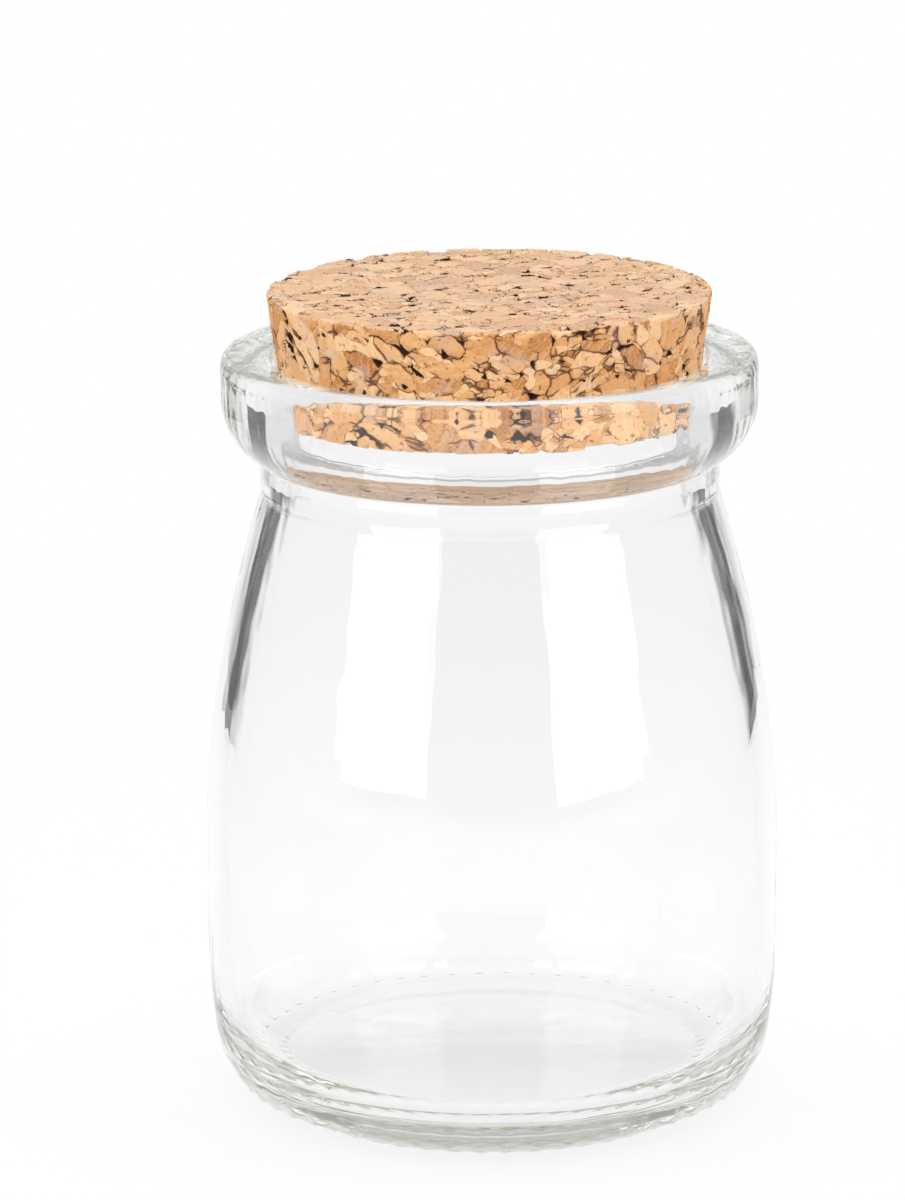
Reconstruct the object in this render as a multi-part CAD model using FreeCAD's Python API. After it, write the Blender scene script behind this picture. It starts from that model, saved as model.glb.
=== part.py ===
import FreeCAD, Part

import math
import os
import random

# Squat glass jar with a flared collar, closed by a tapered cork stopper.
# Millimetres. +Z is up along the jar's axis, and the origin is the centre of the ring it stands on.

# Jar: heights and the outside of the body
JAR_HEIGHT = 90.1
BELLY_RADIUS = 34.0
BELLY_FOOT = 20.0           # where the straight belly starts, above the table
BELLY_BAND = 12.2           # height of the straight belly
LOWER_SWEEP_RADIUS = 90.0   # slow curve that draws the belly in towards the heel
HEEL_RADIUS = 8.8
SHOULDER_DROP = 23.8        # below the neck, where the lines of belly and shoulder would cross

# Jar: glass thickness
WALL = 2.4
FLOOR_THICKNESS = 4.6
INNER_HEEL_RADIUS = 7.0
FLOOR_CROWN = 0.6           # rise of the inside floor at its middle
PUSH_UP = 0.5               # hollow under the base at its middle
BASE_FLAT = 1.6             # flat ring between that hollow and the heel

# Jar: mouth, neck and collar
BORE_RADIUS = 25.15         # mouth, just below the rounded lip
BORE_DRAFT = 1.8            # how much narrower the bore is at the foot of the neck
NECK_WALL = 3.5
NECK_BAND = 3.6             # height of the groove between shoulder and collar
RING_LIFT = 0.2             # from the foot of the neck up to a low moulded ring round it
RING_DROP = 0.4             # from the top of the neck down to that ring
RING_RISE = 0.2
COLLAR_OVERHANG = 4.65      # how far the collar stands out from the neck
COLLAR_UNDER = 7.1          # height of the rounded underside of the collar
COLLAR_SIDE = 4.05          # height of the upright side of the collar
RIM_ROUND = 1.45
LIP_ROUND = 0.9
TOP_FALL = 10.0             # degrees that the top of the collar falls towards the mouth

# Jar: raised bars that it stands on
KNURL_COUNT = 54
KNURL_HEIGHT = 0.28
KNURL_FLAT = 1.1            # length of a bar's level foot
KNURL_RUNOUT = 4.0          # radius by which the foot rises outwards into the heel
KNURL_WIDTH = 1.2
KNURL_INSET = 0.4           # how far the bars reach inside the heel's lowest circle
KNURL_LAND = 0.6            # thin ring that links the bars

# Cork stopper
CORK_HEIGHT = 13.9
CORK_STAND = 7.1            # how far it stands above the rim
CORK_TAPER = 7.9            # degrees, between side and axis
CORK_CLEARANCE = 0.3        # between cork and mouth
CORK_EDGE = 0.5

# Cork stopper: angular pits left between the pressed granules
PIT_SPACING = 5.5
PIT_RADIUS = 0.8            # from the middle of a mean pit to its corners
PIT_DEPTH = 0.7
PIT_SPREAD = 0.4            # share by which pits are larger or smaller than the mean
PIT_STRAY = 0.5             # share of the spacing by which they leave an even pattern
PIT_MARGIN = 1.6            # from the edges of the cork
PIT_LIFT = 0.2              # how far the cutting shape stands out of the face
PIT_SEED = 5

GOLDEN_TURN = math.pi * (3 - math.sqrt(5))   # turn from one pit to the next that never repeats

# Radii of the neck and collar, worked out from the mouth
inner_neck_radius = BORE_RADIUS - BORE_DRAFT
neck_radius = inner_neck_radius + NECK_WALL
collar_radius = neck_radius + COLLAR_OVERHANG

# Heights of the neck and collar, worked down from the rim
collar_side_top = JAR_HEIGHT - RIM_ROUND
collar_side_foot = collar_side_top - COLLAR_SIDE
neck_top = collar_side_foot - COLLAR_UNDER
neck_foot = neck_top - NECK_BAND
belly_top = BELLY_FOOT + BELLY_BAND
shoulder_knee = neck_foot - SHOULDER_DROP
floor_height = KNURL_HEIGHT + FLOOR_THICKNESS

# The lip starts where the falling top, tangent to rim and lip, leaves it
top_fall = math.radians(TOP_FALL)
lip_reach = collar_radius - RIM_ROUND - BORE_RADIUS - LIP_ROUND
lip_foot = collar_side_top - (lip_reach * math.sin(top_fall) - RIM_ROUND + LIP_ROUND) / math.cos(top_fall)


def point(radius, height):
    """Point of a half section, at this distance from the axis."""
    return FreeCAD.Vector(radius, 0, height)


def line(start, end):
    return Part.LineSegment(start, end).toShape()


def arc(start, middle, end):
    return Part.Arc(start, middle, end).toShape()


def arc_about(centre, radius, start_angle, end_angle):
    """Arc of a half section; angles in radians, from outwards towards up."""
    places = []
    for angle in (start_angle, (start_angle + end_angle) / 2, end_angle):
        places.append(point(centre.x + radius * math.cos(angle), centre.z + radius * math.sin(angle)))
    return arc(*places)


def dome(edge_radius, edge_height, rise):
    """Shallow arc from the axis to a ring, higher at the axis by the rise."""
    sphere_radius = (edge_radius ** 2 + rise ** 2) / (2 * rise)
    reach = math.asin(edge_radius / sphere_radius)
    centre = point(0, edge_height + rise - sphere_radius)
    return arc_about(centre, sphere_radius, math.pi / 2, math.pi / 2 - reach)


def shoulder(belly_radius, end_radius):
    """Curve that leaves the belly upright and meets the neck on the line from the knee."""
    curve = Part.BezierCurve()
    curve.setPoles([
        point(belly_radius, belly_top),
        point(belly_radius, shoulder_knee),
        point(end_radius, neck_foot),
    ])
    return curve.toShape()


def lower_body(sweep_radius, heel_radius, rest_height):
    """Heel arc standing on a level, and the slow sweep from it up to the belly, tangent to each other.

    Returns the radius where the heel meets the level, and the two edges from the bottom up.
    """
    sweep_centre = point(BELLY_RADIUS - LOWER_SWEEP_RADIUS, BELLY_FOOT)
    rise = BELLY_FOOT - rest_height - heel_radius
    tilt = math.asin(rise / (sweep_radius - heel_radius))
    heel_centre_radius = sweep_centre.x + (sweep_radius - heel_radius) * math.cos(tilt)
    heel_centre = point(heel_centre_radius, rest_height + heel_radius)
    heel = arc_about(heel_centre, heel_radius, -math.pi / 2, -tilt)
    sweep = arc_about(sweep_centre, sweep_radius, -tilt, 0)
    return heel_centre_radius, [heel, sweep]


def neck_outside():
    """Upright neck with one low moulded ring round it."""
    ring_foot = neck_foot + RING_LIFT
    ring_top = neck_top - RING_DROP
    ring_radius = neck_radius + RING_RISE
    corners = [
        point(neck_radius, neck_foot),
        point(neck_radius, ring_foot),
        point(ring_radius, ring_foot + RING_RISE),
        point(ring_radius, ring_top - RING_RISE),
        point(neck_radius, ring_top),
        point(neck_radius, neck_top),
    ]
    return [line(start, end) for start, end in zip(corners, corners[1:])]


def collar_outside():
    """Rounded underside, upright side, rounded rim, top falling inwards and rounded lip down to the mouth."""
    under_radius = (COLLAR_OVERHANG ** 2 + COLLAR_UNDER ** 2) / (2 * COLLAR_OVERHANG)
    under_turn = math.atan2(COLLAR_UNDER, under_radius - COLLAR_OVERHANG)
    under_centre = point(collar_radius - under_radius, collar_side_foot)
    rim_centre = point(collar_radius - RIM_ROUND, collar_side_top)
    lip_centre = point(BORE_RADIUS + LIP_ROUND, lip_foot)
    top_turn = math.pi / 2 + top_fall
    rim = arc_about(rim_centre, RIM_ROUND, 0, top_turn)
    lip = arc_about(lip_centre, LIP_ROUND, top_turn, math.pi)
    return [
        arc_about(under_centre, under_radius, -under_turn, 0),
        line(point(collar_radius, collar_side_foot), point(collar_radius, collar_side_top)),
        rim,
        line(rim.lastVertex(True).Point, lip.firstVertex(True).Point),
        lip,
    ]


def turned(edges):
    """Solid of revolution of a closed half section, given as edges in any order."""
    wire = Part.Wire(Part.__sortEdges__(edges))
    return Part.Face(wire).revolve(FreeCAD.Vector(), FreeCAD.Vector(0, 0, 1), 360)


def knurl_bar(inner_radius, depth):
    """One raised bar along a radius, level at its foot and then curving up into the heel."""
    flat_end = inner_radius + KNURL_FLAT
    rise = math.acos(1 - depth / KNURL_RUNOUT)
    runout = arc_about(point(flat_end, KNURL_RUNOUT), KNURL_RUNOUT, -math.pi / 2, rise - math.pi / 2)
    outline = Part.Wire([
        line(point(inner_radius, 0), point(flat_end, 0)),
        runout,
        line(runout.lastVertex(True).Point, point(inner_radius, depth)),
        line(point(inner_radius, depth), point(inner_radius, 0)),
    ])
    bar = Part.Face(outline).extrude(FreeCAD.Vector(0, KNURL_WIDTH, 0))
    bar.translate(FreeCAD.Vector(0, -KNURL_WIDTH / 2, 0))
    return bar


def bearing_ring(heel_foot_radius):
    """The bars that the jar stands on, and the thin ring that links them, up into the glass."""
    bar_inner = heel_foot_radius - KNURL_INSET
    land_inner = bar_inner + (KNURL_FLAT - KNURL_LAND) / 2
    depth = floor_height / 2
    land = Part.makeCylinder(land_inner + KNURL_LAND, depth)
    land = land.cut(Part.makeCylinder(land_inner, depth))
    pieces = [land]
    for index in range(KNURL_COUNT):
        bar = knurl_bar(bar_inner, depth)
        bar.rotate(FreeCAD.Vector(), FreeCAD.Vector(0, 0, 1), 360 * index / KNURL_COUNT)
        pieces.append(bar)
    return pieces


def glass_jar():
    """Thick clear jar: one moulded piece of glass, open at the mouth."""
    heel_foot_radius, outer_lower = lower_body(LOWER_SWEEP_RADIUS, HEEL_RADIUS, KNURL_HEIGHT)
    floor_edge_radius, inner_lower = lower_body(LOWER_SWEEP_RADIUS - WALL, INNER_HEEL_RADIUS, floor_height)
    hollow_radius = heel_foot_radius - BASE_FLAT
    inner_belly = BELLY_RADIUS - WALL
    outside = [
        dome(hollow_radius, KNURL_HEIGHT, PUSH_UP),
        line(point(hollow_radius, KNURL_HEIGHT), point(heel_foot_radius, KNURL_HEIGHT)),
        *outer_lower,
        line(point(BELLY_RADIUS, BELLY_FOOT), point(BELLY_RADIUS, belly_top)),
        shoulder(BELLY_RADIUS, neck_radius),
        *neck_outside(),
        *collar_outside(),
    ]
    inside = [
        line(point(BORE_RADIUS, lip_foot), point(inner_neck_radius, neck_foot)),
        shoulder(inner_belly, inner_neck_radius),
        line(point(inner_belly, belly_top), point(inner_belly, BELLY_FOOT)),
        *inner_lower,
        dome(floor_edge_radius, floor_height, FLOOR_CROWN),
        line(point(0, floor_height + FLOOR_CROWN), point(0, KNURL_HEIGHT + PUSH_UP)),
    ]
    body = turned(outside + inside)
    return body.fuse(bearing_ring(heel_foot_radius)).removeSplitter()


def stray(chance):
    """Signed distance by which a pit leaves its even place."""
    return PIT_STRAY * PIT_SPACING * (chance.random() - 0.5)


def uneven(chance):
    """Factor about one, for sizes that differ from pit to pit."""
    return 1 + PIT_SPREAD * (2 * chance.random() - 1)


def pit(chance, middle, along, outward):
    """Three-sided pointed hollow to cut from a face, at a point with a direction in the face and its normal."""
    across = outward.cross(along)
    size = uneven(chance)
    depth = PIT_DEPTH * size
    reach = PIT_RADIUS * size * (1 + PIT_LIFT / depth)
    turn = 2 * math.pi * chance.random()
    corners = []
    for index in range(3):
        angle = turn + 2 * math.pi * index / 3
        way = along * math.cos(angle) + across * math.sin(angle)
        corners.append(middle + outward * PIT_LIFT + way * (reach * uneven(chance)))
    mouth = Part.makePolygon([*corners, corners[0]])
    return Part.makeLoft([mouth, Part.Vertex(middle - outward * depth)], True, True)


def face_pits(chance, radius, height, outward):
    """Pits all over a flat round face, strewn about a sunflower pattern."""
    room = radius - PIT_MARGIN
    count = round(math.pi * room ** 2 / PIT_SPACING ** 2)
    pits = []
    for index in range(count):
        away = room * math.sqrt((index + 1) / (count + 1)) + stray(chance)
        turn = GOLDEN_TURN * index + stray(chance) / away
        middle = FreeCAD.Vector(away * math.cos(turn), away * math.sin(turn), height)
        pits.append(pit(chance, middle, FreeCAD.Vector(1, 0, 0), outward))
    return pits


def side_pits(chance, side, bottom, top):
    """Pits all over the tapered side, strewn about a spiral whose steps share out turn and height evenly."""
    lean = math.radians(CORK_TAPER)
    room = top - bottom - 2 * PIT_MARGIN
    mean_radius = side((top + bottom) / 2)
    count = round(2 * math.pi * mean_radius * room / PIT_SPACING ** 2)
    pits = []
    for index in range(count):
        height = bottom + PIT_MARGIN + room * (index + 0.5) / count
        turn = GOLDEN_TURN * index + stray(chance) / mean_radius
        out = FreeCAD.Vector(math.cos(turn), math.sin(turn), 0)
        middle = out * side(height) + FreeCAD.Vector(0, 0, height)
        along = FreeCAD.Vector(-math.sin(turn), math.cos(turn), 0)
        outward = out * math.cos(lean) - FreeCAD.Vector(0, 0, math.sin(lean))
        pits.append(pit(chance, middle, along, outward))
    return pits


def cork_stopper():
    """Tapered cork plug, pitted, with its edges slightly broken, seated a clearance inside the lip."""
    slope = math.tan(math.radians(CORK_TAPER))
    top = JAR_HEIGHT + CORK_STAND
    bottom = top - CORK_HEIGHT
    seat_radius = BORE_RADIUS - CORK_CLEARANCE

    def side(height):
        return seat_radius + slope * (height - lip_foot)

    corners = [
        point(0, bottom),
        point(side(bottom) - CORK_EDGE, bottom),
        point(side(bottom + CORK_EDGE), bottom + CORK_EDGE),
        point(side(top - CORK_EDGE), top - CORK_EDGE),
        point(side(top) - CORK_EDGE, top),
        point(0, top),
    ]
    edges = []
    for start, end in zip(corners, corners[1:] + corners[:1]):
        edges.append(line(start, end))
    chance = random.Random(PIT_SEED)
    upward = FreeCAD.Vector(0, 0, 1)
    return turned(edges).cut([
        *face_pits(chance, side(top) - CORK_EDGE, top, upward),
        *face_pits(chance, side(bottom) - CORK_EDGE, bottom, -upward),
        *side_pits(chance, side, bottom, top),
    ])


os.makedirs("parts", exist_ok=True)
for node, shape in (("glass_jar", glass_jar()), ("cork_stopper", cork_stopper())):
    solid = shape.Solids[0]
    print(node, "valid", shape.isValid(), "solids", len(shape.Solids), "volume", round(solid.Volume, 1))
    shape.exportStep("parts/" + node + ".step")
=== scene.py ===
import logging
import math
import random
from dataclasses import dataclass
from enum import Enum
from typing import Any, Sequence

import bpy
import numpy as np
from mathutils import Matrix, Vector
from numpy.typing import NDArray


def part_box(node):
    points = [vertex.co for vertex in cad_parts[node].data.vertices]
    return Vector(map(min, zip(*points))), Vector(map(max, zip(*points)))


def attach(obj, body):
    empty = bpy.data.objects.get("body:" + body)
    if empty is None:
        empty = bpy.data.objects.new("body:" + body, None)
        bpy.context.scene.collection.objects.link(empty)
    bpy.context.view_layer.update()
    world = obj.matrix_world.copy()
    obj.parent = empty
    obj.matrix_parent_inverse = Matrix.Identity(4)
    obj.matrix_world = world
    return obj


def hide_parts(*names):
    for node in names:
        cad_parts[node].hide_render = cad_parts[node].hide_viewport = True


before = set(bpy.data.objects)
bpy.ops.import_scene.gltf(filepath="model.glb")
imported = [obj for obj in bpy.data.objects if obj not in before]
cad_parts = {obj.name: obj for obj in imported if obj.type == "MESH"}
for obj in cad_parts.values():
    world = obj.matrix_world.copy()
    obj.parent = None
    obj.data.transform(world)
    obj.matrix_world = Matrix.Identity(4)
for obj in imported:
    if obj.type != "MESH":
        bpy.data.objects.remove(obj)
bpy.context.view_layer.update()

Array = NDArray[Any]
Span = tuple[float, float]
Triple = tuple[float, float, float]
Waves = tuple[tuple[int, float, float], ...]
MM = 0.001
TURN = 2 * math.pi
SMOOTH = {"interpolation_type": "SMOOTHSTEP"}
log = logging.getLogger("jar")


class Body(Enum):
    """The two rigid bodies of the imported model."""

    JAR = "jar"
    CORK = "cork"


class Side(Enum):
    """Which side of the viewer a lamp stands on, as the sign of X."""

    LEFT = -1
    RIGHT = 1


def linear(code: str) -> tuple[float, float, float, float]:
    """Turns an sRGB hex colour into linear RGBA.

    Args:
        code: colour as "#RRGGBB".

    Returns:
        Linear red, green and blue, with an alpha of 1.
    """
    shares = [int(code[k:k + 2], 16) / 255 for k in (1, 3, 5)]
    red, green, blue = [s / 12.92 if s <= 0.04045 else ((s + 0.055) / 1.055) ** 2.4 for s in shares]
    return red, green, blue, 1.0


def add_node(
    tree: bpy.types.NodeTree, kind: str, inputs: dict[Any, Any] | Sequence[Any] = (), **settings: Any,
) -> bpy.types.Node:
    """Adds one shader node with its settings, values and links.

    Map Range takes its value, the ends of the span that comes in, and the ends of the span that goes out.
    Mix takes its share by 0, numbers by 2 and 3 or colours by 6 and 7, and gives a colour by output 2.

    Args:
        tree: node tree that gets the node.
        kind: the node's type name, after the words ShaderNode.
        inputs: in order, or by name or number: a value to set, a socket to link, or a node for its output 0.
        settings: properties of the node.

    Returns:
        The new node.
    """
    node = tree.nodes.new("ShaderNode" + kind)
    for name, value in settings.items():
        setattr(node, name, value)
    for key, value in inputs.items() if isinstance(inputs, dict) else enumerate(inputs):
        if isinstance(value, bpy.types.Node):
            value = value.outputs[0]
        if isinstance(value, bpy.types.NodeSocket):
            tree.links.new(value, node.inputs[key])
        else:
            node.inputs[key].default_value = value
    return node


def bare_tree(owner: bpy.types.Material | bpy.types.World) -> bpy.types.NodeTree:
    """Turns on the nodes of a material or world and empties their tree.

    Args:
        owner: the material or world.

    Returns:
        Its empty node tree.
    """
    owner.use_nodes = True
    owner.node_tree.nodes.clear()
    return owner.node_tree


def smoothstep(low: float, high: float, value: Array) -> Array:
    """Rises from 0 at low to 1 at high along 3t^2 - 2t^3, with t the share of the way."""
    share = np.clip((value - low) / (high - low), 0.0, 1.0)
    return share * share * (3.0 - 2.0 * share)


def arc(centre: tuple[float, float], radius: float, start: float, end: float, count: int = 40) -> Array:
    """Points of a circular arc in a half section.

    Args:
        centre: radius and height of the arc's centre.
        radius: the arc's radius.
        start: first angle in radians, from outwards towards up.
        end: last angle.
        count: number of points.

    Returns:
        Rows of radius and height.
    """
    angle = np.linspace(start, end, count)
    return np.stack([centre[0] + radius * np.cos(angle), centre[1] + radius * np.sin(angle)], axis=1)


def make_object(
    name: str, places: Array, faces: list[Array], material: bpy.types.Material,
) -> bpy.types.Object:
    """Makes a smooth mesh object at the origin.

    Args:
        name: name of the piece.
        places: vertex rows in millimetres.
        faces: arrays of vertex numbers, one row a face, as quads or triangles.
        material: its finish.

    Returns:
        The object, linked to the scene.
    """
    mesh = bpy.data.meshes.new(name)
    mesh.from_pydata((places * MM).tolist(), [], [row for part in faces for row in part.tolist()])
    mesh.polygons.foreach_set("use_smooth", np.ones(len(mesh.polygons), dtype=bool))
    mesh.materials.append(material)
    mesh.update()
    piece = bpy.data.objects.new(name, mesh)
    bpy.context.scene.collection.objects.link(piece)
    return piece


@dataclass(frozen=True)
class ClearGlass:
    """Soda-lime glass, pressed, blown and fire-polished: clear, glossy and faintly green in depth."""

    ior: float = 1.52
    roughness: float = 0.0
    depth_tint: str = "#BDC6AF"
    depth_per_metre: float = 3.2
    shade_tint: str = "#F7FAF8"

    def build(self) -> bpy.types.Material:
        """Makes the glass material.

        Returns:
            Refracting glass that takes a little colour with depth and lets the lamps' light through.
        """
        material = bpy.data.materials.new("soda_lime_glass")
        tree = bare_tree(material)
        # Bends and mirrors what is around it; the tint shows only where the eye looks along the glass
        glass = add_node(tree, "BsdfPrincipled", {
            "Base Color": (1.0, 1.0, 1.0, 1.0),
            "Roughness": self.roughness,
            "IOR": self.ior,
            "Transmission Weight": 1.0,
        })
        through = add_node(tree, "BsdfTransparent", {"Color": linear(self.shade_tint)})
        path = add_node(tree, "LightPath").outputs
        surface = add_node(tree, "MixShader", [path["Is Shadow Ray"], glass, through])
        depth = add_node(tree, "VolumeAbsorption", {
            "Color": linear(self.depth_tint),
            "Density": self.depth_per_metre,
        })
        add_node(tree, "OutputMaterial", {"Surface": surface, "Volume": depth})
        return material


@dataclass(frozen=True)
class Granules:
    """Pressed cork granules as a cellular pattern.

    Space is cut into unit cubes with one seed in each, at a place hashed from the cube's corner; a granule
    is what lies nearest to one seed. Some granules are crushed into crumbs, the same pattern at a finer
    scale. The hash is that of the finish's cellular texture, so mesh and colour show the same granules.
    """

    size_mm: Triple = (4.0, 3.4, 2.5)
    bend_mm: float = 1.5
    bend_length_mm: float = 10.5
    bend_phase: Triple = (0.4, 2.1, 4.4)
    waver_mm: float = 0.16
    waver_length_mm: float = 2.1
    waver_phase: Triple = (1.0, 3.0, 5.0)
    crumb_scale: float = 2.1
    crushed_share: float = 0.45
    void_start: float = 0.67
    void_spread: float = 0.34
    void_softness: float = 0.07
    crack_width: float = 0.062
    open_span: Span = (-0.1, 0.6)
    open_ways: tuple[Triple, ...] = ((1.0, 0.45, 0.7), (-0.6, 1.0, 0.35), (0.3, -0.8, 1.0))
    open_lengths_mm: Triple = (3.1, 3.7, 2.6)
    open_phase: Triple = (0.5, 2.0, 4.0)
    ragged_mm: float = 0.3
    ragged_length_mm: float = 0.55

    def place(self, points: Array) -> Array:
        """Bends space so that granules turn and lengthen: p + bend sin(p') + waver sin(p''), over the size.

        The sines of an axis read the coordinate of the axis before it, and of the one before that.

        Args:
            points: rows of X, Y and Z in millimetres.

        Returns:
            Rows of pattern coordinates, in which a granule is about one unit across.
        """
        turned = np.roll(points, 1, axis=1)
        crossed = np.roll(points, 2, axis=1)
        bend = self.bend_mm * np.sin(TURN * turned / self.bend_length_mm + np.array(self.bend_phase))
        waver = self.waver_mm * np.sin(TURN * crossed / self.waver_length_mm + np.array(self.waver_phase))
        return (points + bend + waver) / np.array(self.size_mm)

    @staticmethod
    def _stir(first: Array, second: Array, third: Array) -> Array:
        """Last stirring of the three-word hash: seven rounds of exclusive-or and a turned subtraction.

        Args:
            first: first words.
            second: second words.
            third: third words.

        Returns:
            The hashed words.
        """
        words = [first, second, third]
        rounds = ((2, 1, 14), (0, 2, 11), (1, 0, 25), (2, 1, 16), (0, 2, 4), (1, 0, 14), (2, 1, 24))
        for changed, other, turn in rounds:
            spun = (words[other] << np.uint32(turn)) | (words[other] >> np.uint32(32 - turn))
            words[changed] = (words[changed] ^ words[other]) - spun
        return words[2]

    @classmethod
    def _chance(cls, cubes: Array) -> Array:
        """Hashes the corners of cubes into three even chances from 0 to 1 each.

        Args:
            cubes: whole-number corners, in the last axis.

        Returns:
            Array of the same shape.
        """
        words = [np.ascontiguousarray(cubes[..., k], np.float32).view(np.uint32) for k in range(3)]
        # The hash's own first word; four times the number of hashed words is added to it
        start = 0xDEADBEEF + 13
        chances = [cls._stir(*[w + np.uint32((start + (3 << 2)) & 0xFFFFFFFF) for w in words])]
        base = np.uint32((start + (4 << 2)) & 0xFFFFFFFF)
        for extra in (1.0, 2.0):
            state = [w + base for w in words]
            for step, turn in enumerate((4, 6, 8, 16, 19, 4)):
                now, last, next_one = step % 3, (step + 2) % 3, (step + 1) % 3
                spun = (state[last] << np.uint32(turn)) | (state[last] >> np.uint32(32 - turn))
                state[now] = (state[now] - state[last]) ^ spun
                state[last] = state[last] + state[next_one]
            state[0] = state[0] + np.float32(extra).view(np.uint32)
            chances.append(cls._stir(*state))
        return np.stack(chances, axis=-1) / float(0xFFFFFFFF)

    def cells(self, place: Array) -> tuple[Array, Array, Array]:
        """Finds the granule of each point.

        Args:
            place: rows of pattern coordinates.

        Returns:
            Distance to the nearest seed, distance to the granule's face, and the granule's three chances.
        """
        corner = np.floor(place)
        steps = np.stack(np.meshgrid(*[(-1, 0, 1)] * 3, indexing="ij"), axis=-1).reshape(-1, 1, 3)
        chance = self._chance(corner[None] + steps)
        seeds = steps + chance - (place - corner)[None]
        reach = np.linalg.norm(seeds, axis=2)
        nearest = reach.argmin(axis=0)
        column = np.arange(len(place))
        own = seeds[nearest, column]
        gap = seeds - own[None]
        width = np.linalg.norm(gap, axis=2)
        middle = ((seeds + own[None]) / 2 * gap).sum(axis=2) / np.maximum(width, 1e-9)
        edge = np.where(width > 0.01, middle, np.inf).min(axis=0)
        return reach[nearest, column], edge, chance[nearest, column]

    def hollow(self, place: Array) -> tuple[Array, Array, Array]:
        """Voids, cracks and steps between granules.

        Args:
            place: rows of pattern coordinates.

        Returns:
            Share of a void, share of a crack and the granule's level, each from 0 to 1.
        """
        reach, edge, chance = self.cells(place)
        crumb_reach, crumb_edge, crumb_chance = self.cells(place * self.crumb_scale)
        crushed = chance[:, 2] < self.crushed_share
        level = np.where(crushed, crumb_chance[:, 1], chance[:, 1])
        far = np.where(crushed, crumb_reach, reach) - self.void_spread * level
        void = smoothstep(self.void_start, self.void_start + self.void_softness, far)
        face = np.where(crushed, np.minimum(edge, crumb_edge / self.crumb_scale), edge)
        crack = 1.0 - smoothstep(0.0, self.crack_width, face)
        return void, crack, level

    def gape(self, points: Array) -> Array:
        """How far seams stand open, in patches: the mean of three sines along skew ways, cut off below.

        Args:
            points: rows of X, Y and Z in millimetres.

        Returns:
            Share from 0, closed, to 1, wide open.
        """
        skew = np.array(self.open_ways) / np.array(self.open_lengths_mm)[:, None]
        waves = np.sin(TURN * (points @ skew.T) + np.array(self.open_phase))
        return smoothstep(*self.open_span, waves.mean(axis=1))


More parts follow.
